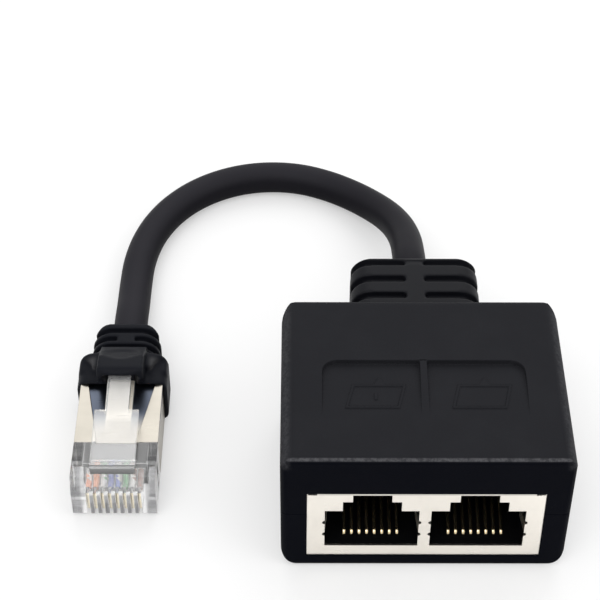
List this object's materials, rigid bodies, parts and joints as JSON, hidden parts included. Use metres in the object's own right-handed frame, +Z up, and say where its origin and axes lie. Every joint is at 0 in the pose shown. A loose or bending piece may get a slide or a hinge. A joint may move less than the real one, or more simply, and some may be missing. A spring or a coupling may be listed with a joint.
{
  "type": "rj45 splitter adapter",
  "caption": "Network splitter adapter: a small housing with shielded modular jacks side by side, and a short lead that ends in a shielded modular plug with a boot.",
  "frame": {"origin": "middle of the housing's underside, measured without the lead, its strain relief and the plug", "axes": "+X to the right seen from the ports, +Y to the back, where the lead leaves, +Z up"},
  "size_m": [0.0674, 0.081, 0.0217],
  "materials": {
    "housing_plastic": "finely textured moulded plastic, blue-black",
    "jack_plastic": "moulded black plastic",
    "nickel_sheet": "nickel-plated sheet, warm white, satin",
    "contact_gold": "gold-plated strip, bright",
    "board_laminate": "green laminate with solder mask",
    "relief_rubber": "soft moulded plastic, black",
    "cable_jacket": "smooth matte jacket, black",
    "boot_rubber": "soft moulded plastic, dark grey black",
    "clear_plastic": "clear moulded plastic, glossy",
    "load_bar_plastic": "frosted clear plastic",
    "wire_white_orange": "smooth wire insulation",
    "wire_orange": "smooth wire insulation",
    "wire_white_green": "smooth wire insulation",
    "wire_blue": "smooth wire insulation",
    "wire_white_blue": "smooth wire insulation",
    "wire_green": "smooth wire insulation",
    "wire_white_brown": "smooth wire insulation",
    "wire_brown": "smooth wire insulation"
  },
  "bodies": {
    "root": {"upper_shell": "housing_plastic", "lower_shell": "housing_plastic", "jack_shield": "nickel_sheet", "jack_housing": "jack_plastic", "left_contact_block": "jack_plastic", "right_contact_block": "jack_plastic", "left_contact_1": "contact_gold", "left_contact_2": "contact_gold", "left_contact_3": "contact_gold", "left_contact_4": "contact_gold", "left_contact_5": "contact_gold", "left_contact_6": "contact_gold", "left_contact_7": "contact_gold", "left_contact_8": "contact_gold", "right_contact_1": "contact_gold", "right_contact_2": "contact_gold", "right_contact_3": "contact_gold", "right_contact_4": "contact_gold", "right_contact_5": "contact_gold", "right_contact_6": "contact_gold", "right_contact_7": "contact_gold", "right_contact_8": "contact_gold", "circuit_board": "board_laminate", "strain_relief": "relief_rubber", "cable_jacket": "cable_jacket", "lead_wire_1": "wire_white_orange", "lead_wire_2": "wire_orange", "lead_wire_3": "wire_white_green", "lead_wire_4": "wire_blue", "lead_wire_5": "wire_white_blue", "lead_wire_6": "wire_green", "lead_wire_7": "wire_white_brown", "lead_wire_8": "wire_brown", "plug_body": "clear_plastic", "plug_shield": "nickel_sheet", "plug_load_bar": "load_bar_plastic", "plug_contact_1": "contact_gold", "plug_contact_2": "contact_gold", "plug_contact_3": "contact_gold", "plug_contact_4": "contact_gold", "plug_contact_5": "contact_gold", "plug_contact_6": "contact_gold", "plug_contact_7": "contact_gold", "plug_contact_8": "contact_gold", "plug_wire_1": "wire_white_orange", "plug_wire_2": "wire_orange", "plug_wire_3": "wire_white_green", "plug_wire_4": "wire_blue", "plug_wire_5": "wire_white_blue", "plug_wire_6": "wire_green", "plug_wire_7": "wire_white_brown", "plug_wire_8": "wire_brown", "plug_boot": "boot_rubber"}
  },
  "joints": []
}
